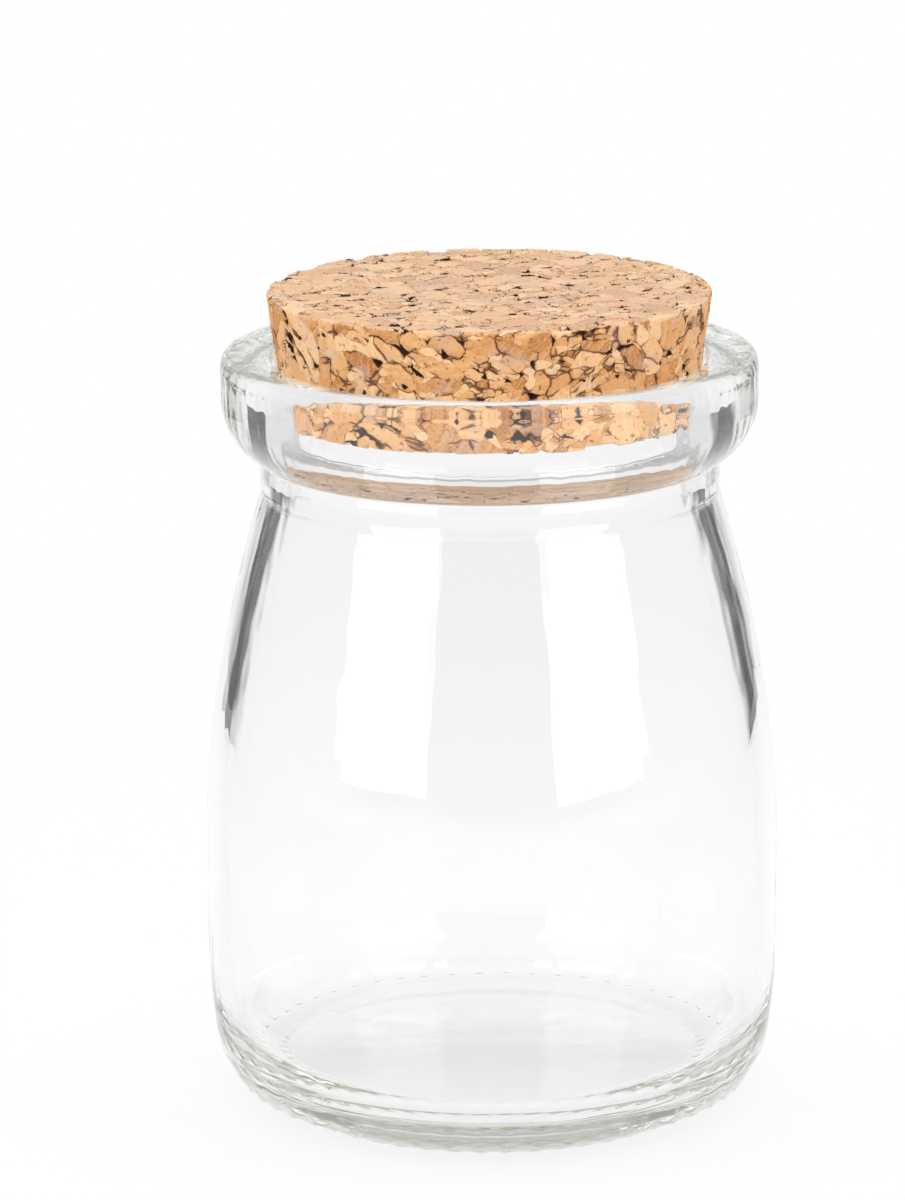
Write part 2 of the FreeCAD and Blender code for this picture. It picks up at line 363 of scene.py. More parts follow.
@dataclass(frozen=True)
class PressedCork:
    """Agglomerated cork: granules pressed and glued, cut and smoothed by sanding, with brown seams and open
    voids.
    Its flat faces are painted paler, as painted light, and its crevices, voids and pits painted dark, as
    painted shade.

    The tones go from bark brown to pale, by the chance of each granule. A span is the pair of values between
    which a mark goes from none to full.
    """

    granules: Granules
    tones: tuple[tuple[float, str], ...] = (
        (0.0, "#BB7F4D"), (0.1, "#D79961"), (0.4, "#E7AD75"), (0.7, "#F0BD89"), (1.0, "#F8CE9F"),
    )
    growth_line_mm: float = 0.42
    growth_line_lift: Span = (-0.18, 0.14)
    growth_line_stray: float = 57.0
    waver_mm: float = 1.1
    grit_mm: float = 0.28
    grit_roughness: float = 0.65
    grit_lift: Span = (-0.13, 0.13)
    noise_span: Span = (0.3, 0.7)
    flat_span: Span = (0.3, 0.8)
    flat_gape: float = 0.38
    # Painted light: this pale colour on the flat faces stands in for the light from above and the sheen on
    # the top
    flat_face_painted_light: str = "#FBE0C6"
    flat_face_painted_light_share: float = 0.38
    bloom: str = "#D3BBAA"
    bloom_mm: float = 4.5
    bloom_span: Span = (0.53, 0.72)
    bloom_share: float = 0.6
    seam: str = "#9A643B"
    seam_width: float = 1.9
    seam_share: float = 0.55
    # Painted shade: the dark crevice colour stands in for the shade in the open gaps between granules
    crevice_painted_shade: str = "#522E18"
    crevice_width: float = 1.0
    crevice_painted_shade_share: float = 0.9
    hairline: float = 0.004
    fleck: str = "#8A5531"
    fleck_mm: float = 0.6
    fleck_span: Span = (0.64, 0.71)
    fleck_share: float = 0.75
    # Painted shade: the near-black colour of voids and pits stands in for the shade inside these hollows
    void: str = "#34190D"
    pit_grit: float = 0.5
    pit_span: Span = (0.36, 0.5)
    crumble_mm: float = 0.8
    crumble_weight: float = 2.5
    nap_mm: float = 0.1
    nap_strength: float = 0.5
    gloss: float = 0.25
    roughness: float = 0.88

    def _tone(
        self, tree: bpy.types.NodeTree, spot: Any, bent: Any, tone: Any, way: Any,
    ) -> tuple[bpy.types.Node, bpy.types.Node, bpy.types.Node]:
        """Adds the tone of the granules, with growth lines across each one's own direction and fine grit.

        Args:
            tree: node tree of the material.
            spot: place in millimetres.
            bent: the same place, shaken, so that the growth lines waver.
            tone: chance of each granule, from 0 to 1.
            way: three chances of each granule, for its direction.

        Returns:
            The colour, the grit, and the height of the relief.
        """
        centred = add_node(tree, "VectorMath", [way, (0.5, 0.5, 0.5)], operation="SUBTRACT")
        across = add_node(tree, "VectorMath", [centred], operation="NORMALIZE")
        along = add_node(tree, "VectorMath", [across, bent], operation="DOT_PRODUCT").outputs["Value"]
        phase = add_node(tree, "Math", [tone, self.growth_line_stray, along], operation="MULTIPLY_ADD")
        lines = add_node(tree, "TexNoise", {
            "W": phase, "Scale": 1 / self.growth_line_mm, "Detail": 2.0,
        }, noise_dimensions="1D")
        grit = add_node(tree, "TexNoise", {
            "Vector": spot, "Scale": 1 / self.grit_mm, "Detail": 3.0, "Roughness": self.grit_roughness,
        })
        lift = add_node(tree, "MapRange", [lines, *self.noise_span, *self.growth_line_lift])
        speck = add_node(tree, "MapRange", [grit, *self.noise_span, *self.grit_lift])
        shade = add_node(tree, "Math", [tone, lift], operation="ADD")
        shade = add_node(tree, "Math", [shade, speck], operation="ADD")
        ramp = add_node(tree, "ValToRGB", [shade])
        stops = ramp.color_ramp.elements
        while len(stops) < len(self.tones):
            stops.new(0.5)
        for stop, (where, code) in zip(stops, self.tones):
            stop.position = where
            stop.color = linear(code)
        relief = add_node(tree, "Math", [lines, grit], operation="ADD")
        return ramp, grit, relief

    def build(self) -> bpy.types.Material:
        """Makes the cork material.

        Returns:
            Matt cork whose granules, seams and voids follow the piece's own pattern coordinates.
        """
        material = bpy.data.materials.new("agglomerated_cork")
        tree = bare_tree(material)
        grain = self.granules
        where = add_node(tree, "TexCoord").outputs
        spot = add_node(tree, "VectorMath", [where["Object"], (1 / MM,) * 3], operation="MULTIPLY")

        # Torn granule edges: the pattern's coordinates shake by a fraction of a millimetre
        shake = add_node(tree, "TexNoise", {
            "Vector": spot, "Scale": 1 / grain.ragged_length_mm, "Detail": 2.0,
        }).outputs["Color"]
        place = add_node(tree, "Attribute", attribute_name="granule_place").outputs["Vector"]
        torn = tuple(grain.ragged_mm / size for size in grain.size_mm)
        place = add_node(tree, "VectorMath", [shake, torn, place], operation="MULTIPLY_ADD")

        # Whole granules, and the crumbs that some of them are crushed into
        fields = []
        for scale in (1.0, grain.crumb_scale):
            own = {"Vector": place, "Scale": scale}
            cell = add_node(tree, "TexVoronoi", own, feature="F1").outputs
            face = add_node(tree, "TexVoronoi", own, feature="DISTANCE_TO_EDGE").outputs
            chance = add_node(tree, "SeparateColor", [cell["Color"]]).outputs
            fields.append((cell["Distance"], face["Distance"], chance, cell["Color"]))
        (near, edge, chance, colour), (crumb_near, crumb_edge, crumb_chance, crumb_colour) = fields
        crushed = add_node(tree, "Math", [chance[2], grain.crushed_share], operation="LESS_THAN")
        tone = add_node(tree, "Mix", {0: crushed, 2: chance[0], 3: crumb_chance[0]})
        level = add_node(tree, "Mix", {0: crushed, 2: chance[1], 3: crumb_chance[1]})
        way = add_node(tree, "Mix", {0: crushed, 6: colour, 7: crumb_colour}, data_type="RGBA").outputs[2]

        # Each granule has its own tone, and fine growth lines across its own direction
        bent = add_node(tree, "VectorMath", [shake, (self.waver_mm,) * 3, spot], operation="MULTIPLY_ADD")
        skin, grit, relief = self._tone(tree, spot, bent, tone, way)
        patch, speck, crumble = (
            add_node(tree, "TexNoise", {"Vector": spot, "Scale": 1 / size, "Detail": detail})
            for size, detail in ((self.bloom_mm, 3.0), (self.fleck_mm, 2.0), (self.crumble_mm, 2.0))
        )

        # Painted light: the flat faces, top and bottom, are painted paler, standing in for the light from
        # above and the sheen on the top; a faint grey bloom lies in patches
        facing = add_node(tree, "SeparateXYZ", [where["Normal"]]).outputs[2]
        flat = add_node(tree, "Math", [facing], operation="ABSOLUTE")
        flat_face_painted_light = add_node(tree, "MapRange", [flat, *self.flat_span, 0.0, self.flat_face_painted_light_share])
        bloom = add_node(tree, "MapRange", [patch, *self.bloom_span, 0.0, self.bloom_share])

        # Seams that gape here and there, less on the flat faces: the brown of the joint beside a dark
        # crevice, whose dark is painted shade in the open gap between granules
        fine_edge = add_node(tree, "Math", [crumb_edge, 1 / grain.crumb_scale], operation="MULTIPLY")
        both = add_node(tree, "Math", [edge, fine_edge], operation="MINIMUM")
        face = add_node(tree, "Mix", {0: crushed, 2: edge, 3: both})
        gape = add_node(tree, "Attribute", attribute_name="seam_gape").outputs["Fac"]
        closed = add_node(tree, "MapRange", [flat, *self.flat_span, 1.0, self.flat_gape])
        gape = add_node(tree, "Math", [gape, closed], operation="MULTIPLY")
        seams_and_painted_shade = []
        for width, share in ((self.seam_width, self.seam_share), (self.crevice_width, self.crevice_painted_shade_share)):
            widest = width * grain.crack_width
            reach = add_node(tree, "Math", [gape, widest, self.hairline], operation="MULTIPLY_ADD")
            seams_and_painted_shade.append(add_node(tree, "MapRange", [face, 0.0, reach, share, 0.0], **SMOOTH))

        # Flecks of bark; and voids and pits painted dark, as painted shade in these hollows
        fleck = add_node(tree, "MapRange", [speck, *self.fleck_span, 0.0, self.fleck_share])
        far = add_node(tree, "Mix", {0: crushed, 2: near, 3: crumb_near})
        far = add_node(tree, "Math", [level, -grain.void_spread, far], operation="MULTIPLY_ADD")
        void_end = grain.void_start + grain.void_softness
        gap = add_node(tree, "MapRange", [far, grain.void_start, void_end, 0.0, 1.0], **SMOOTH)
        pit = add_node(tree, "Attribute", attribute_name="pit_share").outputs["Fac"]
        chewed = add_node(tree, "Math", [grit, self.pit_grit, pit], operation="MULTIPLY_ADD")
        pit = add_node(tree, "MapRange", [chewed, *self.pit_span, 0.0, 1.0])
        void = add_node(tree, "Math", [gap, pit], operation="MAXIMUM")

        marks = (
            (flat_face_painted_light, self.flat_face_painted_light), (bloom, self.bloom), (seams_and_painted_shade[0], self.seam), (seams_and_painted_shade[1], self.crevice_painted_shade),
            (fleck, self.fleck), (void, self.void),
        )
        for share, code in marks:
            skin = add_node(tree, "Mix", {0: share, 6: skin, 7: linear(code)}, data_type="RGBA").outputs[2]

        # Dry and matt, with a fine nap
        relief = add_node(tree, "Math", [crumble, self.crumble_weight, relief], operation="MULTIPLY_ADD")
        bump = add_node(tree, "Bump", {
            "Strength": self.nap_strength, "Distance": self.nap_mm * MM, "Height": relief,
        })
        matt = add_node(tree, "BsdfPrincipled", {
            "Base Color": skin,
            "Roughness": self.roughness,
            "Specular IOR Level": self.gloss,
            "Normal": bump,
        })
        add_node(tree, "OutputMaterial", {"Surface": matt})
        return material


@dataclass
class GlassJar:
    """The jar: one closed skin of glass turned from an outline, with ripples and a knurled foot.

    Lengths are millimetres. A wave is its turns round the axis, its length upwards and its phase; a seam is
    its level, spread and height; a density says how close rows lie.
    """

    height: float
    belly_radius: float
    belly_foot: float = 20.0
    belly_band: float = 12.2
    lower_sweep_radius: float = 90.0
    heel_radius: float = 8.8
    shoulder_drop: float = 23.8
    wall: float = 2.4
    floor_thickness: float = 4.6
    inner_heel_radius: float = 7.0
    floor_crown: float = 0.6
    push_up: float = 0.5
    base_flat: float = 1.6
    bore_radius: float = 25.15
    bore_draft: float = 1.8
    neck_wall: float = 3.5
    neck_band: float = 3.6
    ring_lift: float = 0.2
    ring_drop: float = 0.4
    ring_rise: float = 0.2
    collar_overhang: float = 4.65
    collar_under: float = 7.1
    collar_side: float = 4.05
    rim_round: float = 1.45
    lip_round: float = 0.9
    top_fall_degrees: float = 10.0
    knurl_count: int = 54
    knurl_height: float = 0.28
    knurl_flat: float = 1.1
    knurl_runout: float = 4.0
    knurl_width: float = 1.2
    knurl_inset: float = 0.4
    knurl_relief: float = 0.45
    bar_softness: float = 1.15
    bar_parting: Span = (0.4, 2.8)
    runout_share: float = 0.9
    foot_level: float = 3.0
    corner_softness: float = 0.24
    ripple: float = 0.03
    inner_ripple: float = 0.05
    fine_ripple: float = 0.026
    fine_ripple_low: float = 0.007
    collar_ripple: float = 0.02
    slow_waves: Waves = ((3, 31.0, 0.3), (5, 23.0, 1.9), (7, -17.0, 4.0), (11, 13.0, 2.6), (17, -9.0, 5.2))
    fine_waves: Waves = (
        (41, 37.0, 0.7), (53, -29.0, 2.2), (67, 23.0, 3.9), (79, -41.0, 5.5), (97, 17.0, 1.1),
        (45, 6.1, 0.2), (62, -5.3, 4.6), (29, -7.4, 2.9),
    )
    calm_radius: Span = (1.0, 8.0)
    calm_height: Span = (2.0, 12.0)
    inner_calm_radius: Span = (4.0, 20.0)
    heel_seam: Triple = (2.2, 0.25, 0.06)
    neck_seam: Triple = (73.9, 0.1, 0.1)
    rim_seam: Triple = (88.3, 0.12, 0.07)
    rows: int = 166
    columns: int = 594
    plain_density: float = 0.22
    combed_density: float = 0.33
    bend_density: float = 1.1
    sharpest_bend: float = 4.0
    foot_density: float = 3.2
    foot_zone: float = 1.8
    seam_density: float = 60.0

    def __post_init__(self) -> None:
        """Works out the levels and radii that follow from the sizes."""
        self.neck_radius = self.bore_radius - self.bore_draft + self.neck_wall
        self.collar_radius = self.neck_radius + self.collar_overhang
        self.side_top = self.height - self.rim_round
        self.side_foot = self.side_top - self.collar_side
        self.neck_top = self.side_foot - self.collar_under
        self.neck_foot = self.neck_top - self.neck_band
        self.belly_top = self.belly_foot + self.belly_band
        self.floor = self.knurl_height + self.floor_thickness
        self.heel_foot = self._lower(self.lower_sweep_radius, self.heel_radius, self.knurl_height)[0]
        fall = math.radians(self.top_fall_degrees)
        reach = self.collar_radius - self.rim_round - self.bore_radius - self.lip_round
        drop = (reach * math.sin(fall) - self.rim_round + self.lip_round) / math.cos(fall)
        self.lip_foot = self.side_top - drop

    def _lower(self, sweep: float, heel: float, level: float) -> tuple[float, Array]:
        """Heel arc on a level and the slow sweep up to the belly, tangent to each other.

        Args:
            sweep: radius of the slow sweep.
            heel: radius of the heel.
            level: height that the heel stands on.

        Returns:
            Radius where the heel meets the level, and the points from there up to the belly.
        """
        centre = self.belly_radius - self.lower_sweep_radius
        tilt = math.asin((self.belly_foot - level - heel) / (sweep - heel))
        foot = centre + (sweep - heel) * math.cos(tilt)
        lower = arc((foot, level + heel), heel, -math.pi / 2, -tilt)
        upper = arc((centre, self.belly_foot), sweep, -tilt, 0.0)
        return foot, np.concatenate([lower, upper])

    def _shoulder(self, belly: float, end: float) -> Array:
        """Quadratic curve (1-t)^2 A + 2t(1-t) B + t^2 C from belly to neck, with B where their lines cross.

        Args:
            belly: radius at the belly.
            end: radius at the neck.

        Returns:
            Points from the belly up.
        """
        t = np.linspace(0.0, 1.0, 60)[:, None]
        knee = self.neck_foot - self.shoulder_drop
        first, second, third = np.array([[belly, self.belly_top], [belly, knee], [end, self.neck_foot]])
        return (1 - t) ** 2 * first + 2 * t * (1 - t) * second + t ** 2 * third

    def outline(self) -> Array:
        """Half section of the glass, from the middle of the base round the rim to the middle of the floor.

        Returns:
            Rows of radius and height.
        """
        hollow = self.heel_foot - self.base_flat
        spread = np.linspace(0.0, 1.0, 30)
        base = np.stack([hollow * spread, self.knurl_height + self.push_up * (1 - spread ** 2)], axis=1)
        ring_foot = self.neck_foot + self.ring_lift
        ring_top = self.neck_top - self.ring_drop
        ring = np.array([
            [self.neck_radius, ring_foot],
            [self.neck_radius + self.ring_rise, ring_foot + self.ring_rise],
            [self.neck_radius + self.ring_rise, ring_top - self.ring_rise],
            [self.neck_radius, ring_top],
        ])
        fall = math.radians(self.top_fall_degrees)
        over, under = self.collar_overhang, self.collar_under
        under_radius = (over ** 2 + under ** 2) / (2 * over)
        under_turn = math.atan2(under, under_radius - over)
        inner_sweep = self.lower_sweep_radius - self.wall
        floor_edge, inner_lower = self._lower(inner_sweep, self.inner_heel_radius, self.floor)
        inwards = spread[::-1]
        crown = np.stack([floor_edge * inwards, self.floor + self.floor_crown * (1 - inwards ** 2)], axis=1)
        top_turn = math.pi / 2 + fall
        return np.concatenate([
            base,
            self._lower(self.lower_sweep_radius, self.heel_radius, self.knurl_height)[1],
            self._shoulder(self.belly_radius, self.neck_radius),
            ring,
            arc((self.collar_radius - under_radius, self.side_foot), under_radius, -under_turn, 0.0),
            arc((self.collar_radius - self.rim_round, self.side_top), self.rim_round, 0.0, top_turn),
            arc((self.bore_radius + self.lip_round, self.lip_foot), self.lip_round, top_turn, math.pi),
            self._shoulder(self.belly_radius - self.wall, self.bore_radius - self.bore_draft)[::-1],
            inner_lower[::-1],
            crown,
        ])

    def _softened(self, points: Array, step: float = 0.05) -> Array:
        """Evens out the spacing of an outline and rounds its corners by a bell-shaped average along it.

        Args:
            points: rows of radius and height.
            step: spacing of the result.

        Returns:
            Close rows of radius and height.
        """
        run = np.concatenate([[0.0], np.cumsum(np.linalg.norm(np.diff(points, axis=0), axis=1))])
        keep = np.concatenate([[True], np.diff(run) > 1e-9])
        even = np.arange(0.0, run[-1], step)
        line = np.stack([np.interp(even, run[keep], points[keep, k]) for k in range(2)], axis=1)
        half = int(4 * self.corner_softness / step)
        bell = np.exp(-0.5 * (np.arange(-half, half + 1) * step / self.corner_softness) ** 2)
        mirror = np.array([-1.0, 1.0])
        padded = np.concatenate([line[half:0:-1] * mirror, line, line[-2:-half - 2:-1] * mirror])
        return np.stack([np.convolve(padded[:, k], bell / bell.sum(), "valid") for k in range(2)], axis=1)

    def _rows(self, line: Array) -> tuple[Array, Array]:
        """Picks the rows of the grid, closer where the outline bends and at the knurled foot.

        Args:
            line: close rows of radius and height.

        Returns:
            The picked rows, and the outward normal at each.
        """
        along = np.gradient(line, axis=0)
        step = np.linalg.norm(along, axis=1)
        heading = np.unwrap(np.arctan2(along[:, 1], along[:, 0]))
        bend = np.abs(np.gradient(heading)) / step
        near_foot = (line[:, 1] < self.foot_zone) & (line[:, 0] > self.heel_foot - self.foot_zone)
        outside = np.arange(len(line)) < np.argmax(line[:, 1])
        on_seam = self._seams(line[:, 1:2])[:, 0] * outside
        combed = outside & (line[:, 1] > self.belly_top)
        weight = self.plain_density + self.combed_density * combed
        weight = weight + self.bend_density * np.minimum(bend, self.sharpest_bend)
        weight = weight + self.foot_density * near_foot + self.seam_density * on_seam
        weight = np.cumsum(step * weight)
        weight = (weight - weight[0]) / (weight[-1] - weight[0])
        where = np.interp(np.linspace(0.0, 1.0, self.rows), weight, np.arange(len(line)))
        picked = np.stack([np.interp(where, np.arange(len(line)), line[:, k]) for k in range(2)], axis=1)
        angle = np.interp(where, np.arange(len(line)), heading)
        return picked, np.stack([np.sin(angle), -np.cos(angle)], axis=1)

    @staticmethod
    def _mean_wave(waves: Waves, angle: Array, height: Array) -> Array:
        """Mean of the sines of turns times angle, plus height over length as a turn, plus phase.

        Args:
            waves: turns, length and phase of each wave.
            angle: angle round the axis.
            height: height in millimetres.

        Returns:
            Wave from about -1 to 1.
        """
        each = (np.sin(turns * angle + TURN * height / length + phase) for turns, length, phase in waves)
        return sum(each) / len(waves)

    def _seams(self, height: Array) -> Array:
        """Bell-shaped ridges where the parts of the mould met."""
        seams = (self.heel_seam, self.neck_seam, self.rim_seam)
        return sum(rise * np.exp(-0.5 * ((height - level) / spread) ** 2) for level, spread, rise in seams)

    def _rippled(self, rows: Array, angle: Array, inside: Array) -> Array:
        """Adds up slow waves, finer ones that grow above the belly, and seams.

        Args:
            rows: rows of radius and height.
            angle: angles round the axis.
            inside: which rows lie inside the jar.

        Returns:
            Grid of distances that the glass moves along its normal.
        """
        radius, height = rows[:, 0:1], rows[:, 1:2]
        wave = self._mean_wave(self.slow_waves, angle, height)
        comb = self._mean_wave(self.fine_waves, angle, height)
        calm = smoothstep(*self.calm_radius, radius) * smoothstep(*self.calm_height, height)
        upper = smoothstep(self.belly_top, self.neck_foot, height)
        fine = self.fine_ripple_low + (self.fine_ripple - self.fine_ripple_low) * upper
        fine = fine + self.collar_ripple * smoothstep(self.neck_top, self.side_foot, height)
        outer = -(self.ripple * (1 + wave) + fine * (1 + comb)) * calm
        outer = outer + self._seams(height) * (radius > self.heel_foot)
        inner = self.inner_ripple * wave * smoothstep(*self.inner_calm_radius, radius)
        return np.where(inside, inner, outer)

    def _on_bars(self, radius: Array, angle: Array, height: Array) -> Array:
        """Lowers the base towards the bars' undersides, by a share that grows with r^2, less between bars.

        Args:
            radius: radius of each row.
            angle: angles round the axis.
            height: grid of heights.

        Returns:
            Grid of lowered heights.
        """
        pitch = TURN / self.knurl_count
        off_bar = np.abs((angle + pitch / 2) % pitch - pitch / 2) * radius
        bar = 1.0 - smoothstep(0.0, self.bar_softness * self.knurl_width, off_bar)
        inner = self.heel_foot - self.knurl_inset
        past = np.clip(radius - inner - self.knurl_flat, 0.0, self.runout_share * self.knurl_runout)
        underside = self.knurl_runout - np.sqrt(self.knurl_runout ** 2 - past ** 2)
        start, end = (inner + offset for offset in self.bar_parting)
        dished = np.clip(radius / start, 0.0, 1.0) ** 2
        lowered = dished * (1.0 - self.knurl_relief * smoothstep(start, end, radius) * (1.0 - bar))
        return height - lowered * np.clip(height - underside, 0.0, None)

    def surface(self) -> Array:
        """Carries the outline round the axis: x = r cos a, y = r sin a, moved by ripples and bars.

        Returns:
            Grid of points, rows along the outline by columns round the axis.
        """
        rows, normal = self._rows(self._softened(self.outline()))
        angle = np.arange(self.columns)[None] * TURN / self.columns
        inside = np.arange(self.rows)[:, None] > np.argmax(rows[:, 1])
        move = self._rippled(rows, angle, inside)
        radius = rows[:, 0:1] + normal[:, 0:1] * move
        height = rows[:, 1:2] + normal[:, 1:2] * move
        at_foot = ~inside & (rows[:, 1:2] < self.foot_level)
        height = np.where(at_foot, self._on_bars(rows[:, 0:1], angle, height), height)
        return np.stack([radius * np.cos(angle), radius * np.sin(angle), height], axis=2)

    def build(self, material: bpy.types.Material) -> bpy.types.Object:
        """Closes the turned grid at its two middles and makes the piece.

        Args:
            material: the glass.

        Returns:
            The jar's object.
        """
        grid = self.surface()[1:-1]
        line = self._softened(self.outline())
        middles = np.array([[0.0, 0.0, line[0, 1]], [0.0, 0.0, line[-1, 1]]])
        places = np.concatenate([grid.reshape(-1, 3), middles])
        numbers = np.arange(grid.shape[0] * self.columns).reshape(grid.shape[0], self.columns)
        beside = np.roll(numbers, -1, axis=1)
        quads = np.stack([numbers[:-1], beside[:-1], beside[1:], numbers[1:]], axis=2).reshape(-1, 4)
        low, high = len(places) - 2, len(places) - 1
        foot = np.stack([np.full(self.columns, low), beside[0], numbers[0]], axis=1)
        floor = np.stack([np.full(self.columns, high), numbers[-1], beside[-1]], axis=1)
        return make_object("glass_jar_body", places, [quads, foot, floor], material)


@dataclass(frozen=True)
class Pit:
    """One angular pit: its middle, two directions in its face, three corners along these, and its depth."""

    middle: Array
    along: Array
    across: Array
    corners: Array
    depth: float

    def sink(self, points: Array) -> Array:
        """How far a pointed hollow takes points down: its depth times the least share left before a side.

        Args:
            points: rows of X, Y and Z near the pit.

        Returns:
            Depth at each point, and nought outside the pit.
        """
        offset = points - self.middle
        flat = np.stack([offset @ self.along, offset @ self.across], axis=1)
        side = np.roll(self.corners, -1, axis=0) - self.corners
        outward = np.stack([side[:, 1], -side[:, 0]], axis=1)
        reach = (outward * self.corners).sum(axis=1)
        share = 1.0 - (flat @ outward.T) / reach
        return self.depth * np.clip(share.min(axis=1), 0.0, None)


@dataclass
class CorkStopper:
    """The cork: a tapered plug with raised granules, pits and voids in its mesh. Lengths are millimetres."""

    bottom: float
    top: float
    top_radius: float
    taper_degrees: float = 7.9
    edge: float = 0.5
    edge_round: float = 0.45
    pit_spacing: float = 5.5
    pit_radius: float = 0.8
    pit_depth: float = 0.7
    pit_spread: float = 0.4
    pit_stray: float = 0.5
    pit_margin: float = 1.6
    pit_seed: int = 5
    cells: int = 160
    side_rows: int = 64
    edge_rows: int = 4
    void_depth: float = 0.35
    crack_depth: float = 0.18
    level_depth: float = 0.08
    edge_wear: float = 0.3
    wear_height: float = 1.2
    wear_inset: Span = (4.2, 1.5)
    wear_span: Span = (0.45, 0.95)

    def _radius(self, height: float) -> float:
        """Radius of the tapered side at a height."""
        slope = math.tan(math.radians(self.taper_degrees))
        return self.top_radius + slope * (height - self.top + self.edge)

    def _stray(self, chance: random.Random) -> float:
        """Signed distance by which a pit leaves its even place."""
        return self.pit_stray * self.pit_spacing * (chance.random() - 0.5)

    def _uneven(self, chance: random.Random) -> float:
        """Factor about one, for sizes that differ from pit to pit."""
        return 1 + self.pit_spread * (2 * chance.random() - 1)

    def _pit(self, chance: random.Random, middle: Array, along: Array, outward: Array) -> Pit:
        """One pit with three uneven corners, 120 degrees apart about a chance direction.

        Args:
            chance: seeded source of chances.
            middle: its middle on the face.
            along: a direction in the face.
            outward: the face's normal.

        Returns:
            The pit.
        """
        size = self._uneven(chance)
        turn = TURN * chance.random() + TURN * np.arange(3) / 3
        reach = np.array([self.pit_radius * size * self._uneven(chance) for _ in range(3)])
        corners = np.stack([np.cos(turn), np.sin(turn)], axis=1) * reach[:, None]
        return Pit(middle, along, np.cross(outward, along), corners, self.pit_depth * size)

    def pits(self) -> list[Pit]:
        """Strews pits over top, bottom and side, with the solid's seed and order of chances.

        A flat face follows a sunflower, radius R sqrt(k / (n + 1)) with a golden turn from pit to pit; the
        side follows a spiral with the same turn and an even rise.

        Returns:
            All pits.
        """
        chance = random.Random(self.pit_seed)
        golden = math.pi * (3 - math.sqrt(5))
        pits = []
        for height, up in ((self.top, 1.0), (self.bottom, -1.0)):
            room = self._radius(height) - self.edge - self.pit_margin
            count = round(math.pi * room ** 2 / self.pit_spacing ** 2)
            for index in range(count):
                away = room * math.sqrt((index + 1) / (count + 1)) + self._stray(chance)
                turn = golden * index + self._stray(chance) / away
                middle = np.array([away * math.cos(turn), away * math.sin(turn), height])
                pits.append(self._pit(chance, middle, np.array([1.0, 0.0, 0.0]), np.array([0.0, 0.0, up])))
        lean = math.radians(self.taper_degrees)
        room = self.top - self.bottom - 2 * self.pit_margin
        mean_radius = self._radius((self.top + self.bottom) / 2)
        count = round(TURN * mean_radius * room / self.pit_spacing ** 2)
        for index in range(count):
            height = self.bottom + self.pit_margin + room * (index + 0.5) / count
            turn = golden * index + self._stray(chance) / mean_radius
            out = np.array([math.cos(turn), math.sin(turn), 0.0])
            middle = out * self._radius(height) + np.array([0.0, 0.0, height])
            along = np.array([-math.sin(turn), math.cos(turn), 0.0])
            outward = out * math.cos(lean) - np.array([0.0, 0.0, math.sin(lean)])
            pits.append(self._pit(chance, middle, along, outward))
        return pits

    def _disc(self, radius: float) -> Array:
        """Square grid bent to a disc: x = u sqrt(1 - v^2/2), y = v sqrt(1 - u^2/2), u and v even in angle.

        Args:
            radius: radius of the disc.

        Returns:
            Grid of X and Y.
        """
        even = math.sqrt(2) * np.sin(np.linspace(-math.pi / 4, math.pi / 4, self.cells + 1))
        u, v = np.meshgrid(even, even, indexing="ij")
        return radius * np.stack([u * np.sqrt(1 - v ** 2 / 2), v * np.sqrt(1 - u ** 2 / 2)], axis=2)

    def _border(self, numbers: Array) -> Array:
        """Numbers of a square grid's border, once round from the low corner."""
        return np.concatenate([numbers[:-1, 0], numbers[-1, :-1], numbers[:0:-1, -1], numbers[0, :0:-1]])

    def _side_outline(self) -> tuple[Array, Array]:
        """Outline from the top's rounded edge down the taper to the bottom's, with its normals.

        Returns:
            Rows of radius and height, and rows of outward normals.
        """
        tilt = math.radians(self.taper_degrees)
        soft = self.edge_round
        slope = math.tan(tilt)
        upper = (self.top_radius - soft, self.top - soft)
        drop = (self.top - self.bottom) - 2 * soft
        lower = (upper[0] - slope * drop, self.bottom + soft)
        above = np.linspace(math.pi / 2, -tilt, self.edge_rows + 1)
        below = np.linspace(-tilt, -math.pi / 2, self.edge_rows + 1)
        between = np.full(self.side_rows - 1, -tilt)
        turn = np.concatenate([above, between, below])
        down = np.arange(1, self.side_rows) / self.side_rows
        share = np.concatenate([np.zeros(len(above)), down, np.ones(len(below))])
        centre = np.stack([start + share * (end - start) for start, end in zip(upper, lower)], axis=1)
        normal = np.stack([np.cos(turn), np.sin(turn)], axis=1)
        return centre + soft * normal, normal

    @staticmethod
    def _carried(way: Array, rows: Array) -> Array:
        """Carries rows (r, z) round the axis along directions (c, s), as points (c r, s r, z).

        Args:
            way: directions round the axis.
            rows: rows of radius and height, or of their normals.

        Returns:
            Rows of X, Y and Z, one round after the other.
        """
        flat = way[None] * rows[:, None, :1]
        level = np.broadcast_to(rows[:, None, 1:], (len(rows), len(way), 1))
        return np.concatenate([flat, level], axis=2).reshape(-1, 3)

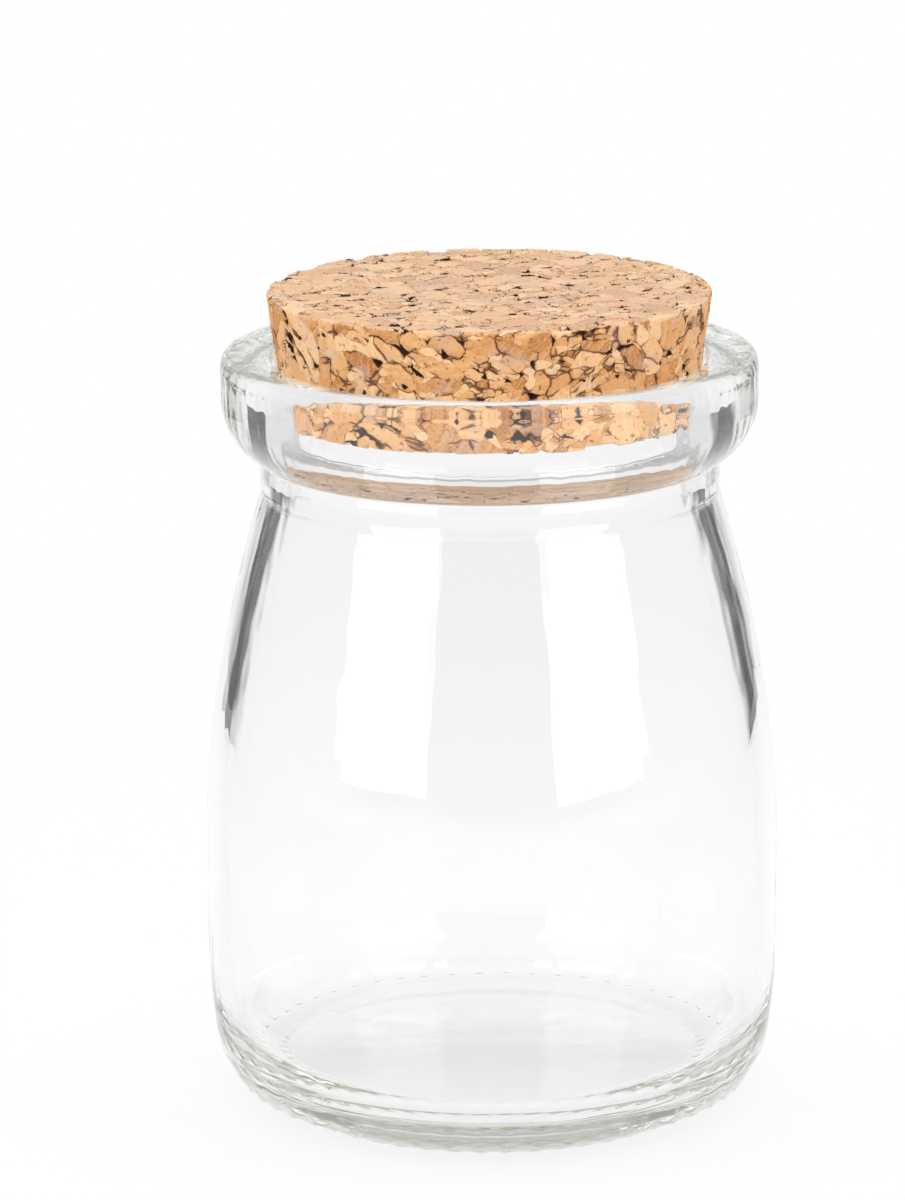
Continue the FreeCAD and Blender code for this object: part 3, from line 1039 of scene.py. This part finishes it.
    def surface(self) -> tuple[Array, Array, list[Array]]:
        """Top disc, side and bottom disc as one closed skin.

        Returns:
            Points, outward normals and faces.
        """
        outline, normal = self._side_outline()
        top, bottom = self._disc(outline[0, 0]), self._disc(outline[-1, 0])
        count = (self.cells + 1) ** 2
        numbers = np.arange(count).reshape(self.cells + 1, self.cells + 1)
        ring = self._border(numbers)
        way = top.reshape(-1, 2)[ring] / outline[0, 0]
        rows, rows_normal = outline[1:-1], normal[1:-1]
        level = np.ones((count, 1))
        points = np.concatenate([
            np.concatenate([top.reshape(-1, 2), level * self.top], axis=1),
            np.concatenate([bottom.reshape(-1, 2), level * self.bottom], axis=1),
            self._carried(way, rows),
        ])
        up = np.array([[0.0, 0.0, 1.0]])
        normals = np.concatenate([
            np.repeat(up, count, axis=0),
            np.repeat(-up, count, axis=0),
            self._carried(way, rows_normal),
        ])
        corners = [numbers[:-1, :-1], numbers[1:, :-1], numbers[1:, 1:], numbers[:-1, 1:]]
        cell = np.stack(corners, axis=2).reshape(-1, 4)
        belts = 2 * count + np.arange(len(rows) * len(ring)).reshape(len(rows), len(ring))
        belts = np.concatenate([ring[None], belts, ring[None] + count])
        beside = np.roll(belts, -1, axis=1)
        wrap = np.stack([belts[:-1], belts[1:], beside[1:], beside[:-1]], axis=2).reshape(-1, 4)
        return points, normals, [cell, cell[:, ::-1] + count, wrap]

    def build(self, granules: Granules, material: bpy.types.Material) -> bpy.types.Object:
        """Sinks voids, cracks and worn edges into the skin along its normals and makes the piece.

        Args:
            granules: the granule pattern.
            material: the cork.

        Returns:
            The cork's object, with the pattern coordinates stored on its points.
        """
        points, normals, faces = self.surface()
        place = granules.place(points)
        void, crack, level = granules.hollow(place)
        near_edge = np.minimum(np.abs(points[:, 2] - self.top), np.abs(points[:, 2] - self.bottom))
        rim = np.hypot(points[:, 0], points[:, 1])
        wear_start, wear_end = (self.top_radius - inset for inset in self.wear_inset)
        worn = (1.0 - smoothstep(0.0, self.wear_height, near_edge)) * smoothstep(wear_start, wear_end, rim)
        gape = granules.gape(points)
        sink = self.void_depth * void + self.crack_depth * crack * gape + self.level_depth * level
        sink = sink + self.edge_wear * worn * smoothstep(*self.wear_span, level)
        pitted = np.zeros(len(points))
        widest = 3 * self.pit_radius
        for pit in self.pits():
            near = np.nonzero(((points - pit.middle) ** 2).sum(axis=1) < widest ** 2)[0]
            pitted[near] = np.maximum(pitted[near], pit.sink(points[near]))
        sink = np.maximum(sink, pitted)
        piece = make_object("cork_stopper_plug", points - normals * sink[:, None], faces, material)
        layer = piece.data.attributes.new("granule_place", "FLOAT_VECTOR", "POINT")
        layer.data.foreach_set("vector", place.astype(np.float32).ravel())
        for name, share in (("pit_share", pitted / self.pit_depth), ("seam_gape", gape)):
            layer = piece.data.attributes.new(name, "FLOAT", "POINT")
            layer.data.foreach_set("value", share.astype(np.float32))
        return piece


@dataclass(frozen=True)
class Viewpoint:
    """Where the picture is taken from: a long lens a little above the jar, looking slightly down."""

    distance: float = 0.640
    height: float = 0.22116
    pitch_degrees: float = 14.151
    yaw_degrees: float = 0.4019
    roll_degrees: float = -0.3836
    focal_pixels: float = 5589.5
    picture_pixels: float = 1200.0
    sensor_mm: float = 36.0

    def build(self) -> bpy.types.Object:
        """Makes the camera.

        Returns:
            The camera object, set as the scene's camera.
        """
        pitch = math.radians(self.pitch_degrees)
        yaw = math.radians(self.yaw_degrees)
        roll = math.radians(self.roll_degrees)
        ahead = math.cos(pitch)
        forward = Vector((-math.sin(yaw) * ahead, math.cos(yaw) * ahead, -math.sin(pitch)))
        level = Vector((math.cos(yaw), math.sin(yaw), 0.0))
        upward = level.cross(forward)
        right = math.cos(roll) * level + math.sin(roll) * upward
        up = math.cos(roll) * upward - math.sin(roll) * level
        lens = bpy.data.cameras.new("viewpoint")
        lens.sensor_width = self.sensor_mm
        lens.lens = self.sensor_mm * self.focal_pixels / self.picture_pixels
        camera = bpy.data.objects.new("viewpoint", lens)
        turn = Matrix((right, up, -forward)).transposed().to_4x4()
        camera.matrix_world = Matrix.Translation((0.0, -self.distance, self.height)) @ turn
        bpy.context.scene.collection.objects.link(camera)
        bpy.context.scene.camera = camera
        return camera


@dataclass(frozen=True)
class Studio:
    """White table and backdrop, pale sides, dim gaps beside the backdrop, and two tall soft lamps.

    Lengths are metres. A rise is the sine of a direction's angle above the level, from -1 to 1.
    """

    floor_radius: float = 0.32
    floor_sides: int = 96
    floor_glow: float = 0.68
    floor_white: str = "#969698"
    shadow_reach: Span = (0.08, 0.3)
    sheet_half_width: float = 0.15
    sheet_flare: float = 0.75
    sheet_fade: float = 0.8
    far_reach: Span = (0.08, 0.3)
    far_fade: float = 0.93
    lamp_distance: float = 0.75
    lamp_turn_degrees: float = 46.0
    lamp_width: float = 0.55
    lamp_height: float = 0.62
    lamp_lift: float = 0.33
    lamp_aim: float = 0.8
    lamp_radiance: float = 2.4
    backdrop_degrees: Span = (20.0, 33.5)
    backdrop_rise: Span = (0.22, 0.34)
    backdrop_white: Span = (0.92, 0.52)
    gap_rise: Span = (0.05, 0.45)
    gap_grey: Span = (0.1, 0.42)
    side_degrees: Span = (41.0, 50.0)
    side_rise: Span = (0.35, 0.6)
    side_fade: float = 0.65
    front_degrees: Span = (112.0, 135.0)
    side_to_front: Span = (0.8, 0.3)
    ceiling_rise: Span = (0.72, 0.93)
    fill_rise: Span = (0.3, 0.62)
    ground_rise: Span = (-0.02, -0.12)
    bounces: int = 96
    clear_bounces: int = 32

    def lamp(self, side: Side) -> bpy.types.Object:
        """Makes one soft lamp, turned to the jar.

        Args:
            side: which side of the viewer.

        Returns:
            The lamp object.
        """
        light = bpy.data.lights.new(f"soft_lamp_{side.name.lower()}", "AREA")
        light.shape = "RECTANGLE"
        light.size, light.size_y = self.lamp_width, self.lamp_height
        light.energy = self.lamp_radiance * math.pi * self.lamp_width * self.lamp_height
        lamp = bpy.data.objects.new(light.name, light)
        turn = side.value * math.radians(self.lamp_turn_degrees)
        lamp.location = (
            self.lamp_distance * math.sin(turn), -self.lamp_distance * math.cos(turn), self.lamp_lift,
        )
        aim = Vector((0.0, 0.0, self.lamp_lift * self.lamp_aim)) - lamp.location
        lamp.rotation_euler = aim.to_track_quat("-Z", "Y").to_euler()
        lamp.visible_camera = False
        bpy.context.scene.collection.objects.link(lamp)
        return lamp

    def floor(self) -> bpy.types.Object:
        """Makes the white table: a disc whose near part takes shadows and whose far part is plain white.

        To all but the viewer, it is a white sheet that widens from the jar and dims a little to its sides.

        Returns:
            The floor object.
        """
        corners = np.arange(self.floor_sides)
        turn = corners * TURN / self.floor_sides
        ring = np.stack([np.cos(turn), np.sin(turn), 0 * turn], axis=1) * self.floor_radius / MM
        material = bpy.data.materials.new("white_table")
        tree = bare_tree(material)
        path = add_node(tree, "LightPath").outputs
        place = add_node(tree, "TexCoord").outputs["Object"]

        # Matt near the jar, so that its shadow shows, and brightened for what looks at it or through glass
        seen = add_node(tree, "Math", [path["Is Camera Ray"], path["Is Glossy Ray"]], operation="MAXIMUM")
        seen = add_node(tree, "Math", [seen, path["Is Transmission Ray"]], operation="MAXIMUM")
        strength = add_node(tree, "Math", [seen, self.floor_glow], operation="MULTIPLY")
        matt = add_node(tree, "BsdfDiffuse", {"Color": linear(self.floor_white)})
        near = add_node(tree, "AddShader", [matt, add_node(tree, "Emission", {"Strength": strength})])
        white = add_node(tree, "Emission", {"Strength": 1.0})
        away = add_node(tree, "VectorMath", [place], operation="LENGTH").outputs["Value"]
        share = add_node(tree, "MapRange", [away, *self.shadow_reach], **SMOOTH)
        surface = add_node(tree, "MixShader", [share, near, white])

        # The sheet dims past lines that widen from the jar, and a little far behind it
        parts = add_node(tree, "SeparateXYZ", [place]).outputs
        aside = add_node(tree, "Math", [parts[0]], operation="ABSOLUTE")
        ahead = add_node(tree, "Math", [parts[1]], operation="ABSOLUTE")
        out = add_node(tree, "Math", [ahead, -self.sheet_flare, aside], operation="MULTIPLY_ADD")
        sheet = add_node(tree, "MapRange", [out, 0.0, self.sheet_half_width, 1.0, self.sheet_fade])
        far = add_node(tree, "MapRange", [parts[1], *self.far_reach, 1.0, self.far_fade])
        sheet = add_node(tree, "Math", [sheet, far], operation="MULTIPLY")
        level = add_node(tree, "Math", [sheet, path["Is Camera Ray"]], operation="MAXIMUM")
        dark = add_node(tree, "Emission", {"Strength": 0.0})
        surface = add_node(tree, "MixShader", [level, dark, surface])
        add_node(tree, "OutputMaterial", {"Surface": surface})
        table = make_object("table", ring, [corners[None]], material)
        return table

    def surroundings(self) -> None:
        """Lights the room: white to the viewer; to the glass a backdrop, gaps, pale sides and a grey front.

        The turn of a direction is its angle from straight behind the jar. Each shade goes from none to its
        level between two turns or two rises, and the brightest shade counts.
        """
        world = bpy.data.worlds.new("white_room")
        bpy.context.scene.world = world
        tree = bare_tree(world)
        path = add_node(tree, "LightPath").outputs
        way = add_node(tree, "TexCoord").outputs["Generated"]
        across, behind, rise = add_node(tree, "SeparateXYZ", [way]).outputs
        aside = add_node(tree, "Math", [across], operation="ABSOLUTE")
        turn = add_node(tree, "Math", [aside, behind], operation="ARCTAN2")
        low = add_node(tree, "Math", [behind, rise], operation="MAXIMUM")
        inner, outer = np.radians(self.backdrop_degrees).tolist()
        side_turn = np.radians(self.side_degrees).tolist()
        front_turn = np.radians(self.front_degrees).tolist()
        backdrop = add_node(tree, "MapRange", [rise, *self.backdrop_rise, *self.backdrop_white], **SMOOTH)
        beside = add_node(tree, "MapRange", [turn, *front_turn, *self.side_to_front], **SMOOTH)
        upper = add_node(tree, "MapRange", [rise, *self.side_rise, 1.0, self.side_fade], **SMOOTH)
        beside = add_node(tree, "Math", [beside, upper], operation="MULTIPLY")
        shades = (
            (turn, (outer, inner), backdrop),
            (turn, side_turn, beside),
            (rise, self.ceiling_rise, 1.0),
            (rise, self.fill_rise, path["Is Diffuse Ray"]),
            (low, self.ground_rise, 1.0),
        )
        room = add_node(tree, "MapRange", [rise, *self.gap_rise, *self.gap_grey])
        for place, span, level in shades:
            shade = add_node(tree, "MapRange", [place, *span, 0.0, level], **SMOOTH)
            room = add_node(tree, "Math", [shade, room], operation="MAXIMUM")
        strength = add_node(tree, "Math", [room, path["Is Camera Ray"]], operation="MAXIMUM")
        light = add_node(tree, "Background", {"Color": (1.0, 1.0, 1.0, 1.0), "Strength": strength})
        add_node(tree, "OutputWorld", {"Surface": light})

    def build(self) -> None:
        """Makes the table, the room and both lamps, and keeps colours as written."""
        self.floor()
        self.surroundings()
        for side in Side:
            self.lamp(side)
        bpy.context.scene.view_settings.view_transform = "Standard"
        cycles = bpy.context.scene.cycles
        cycles.max_bounces = cycles.glossy_bounces = cycles.transmission_bounces = self.bounces
        cycles.transparent_max_bounces = self.clear_bounces


def dress(piece: bpy.types.Object, body: Body, node: str) -> None:
    """Lets a piece ride on its body in place of its solid, and reports it.

    Args:
        piece: the dressed piece.
        body: the body that it moves with.
        node: the solid that it stands for.
    """
    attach(piece, body.value)
    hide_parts(node)
    log.info("%s: %d points, on body %s", piece.name, len(piece.data.vertices), body.value)


def main() -> None:
    """Builds the jar, its cork and the studio round them."""
    logging.basicConfig(level=logging.INFO, format="%(name)s %(message)s")
    low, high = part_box("glass_jar")
    jar = GlassJar(height=high.z / MM, belly_radius=(high.x - low.x) / 2 / MM)
    dress(jar.build(ClearGlass().build()), Body.JAR, "glass_jar")
    low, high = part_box("cork_stopper")
    granules = Granules()
    cork = CorkStopper(bottom=low.z / MM, top=high.z / MM, top_radius=(high.x - low.x) / 2 / MM)
    dress(cork.build(granules, PressedCork(granules).build()), Body.CORK, "cork_stopper")
    Viewpoint().build()
    Studio().build()


if __name__ == "__main__":
    main()
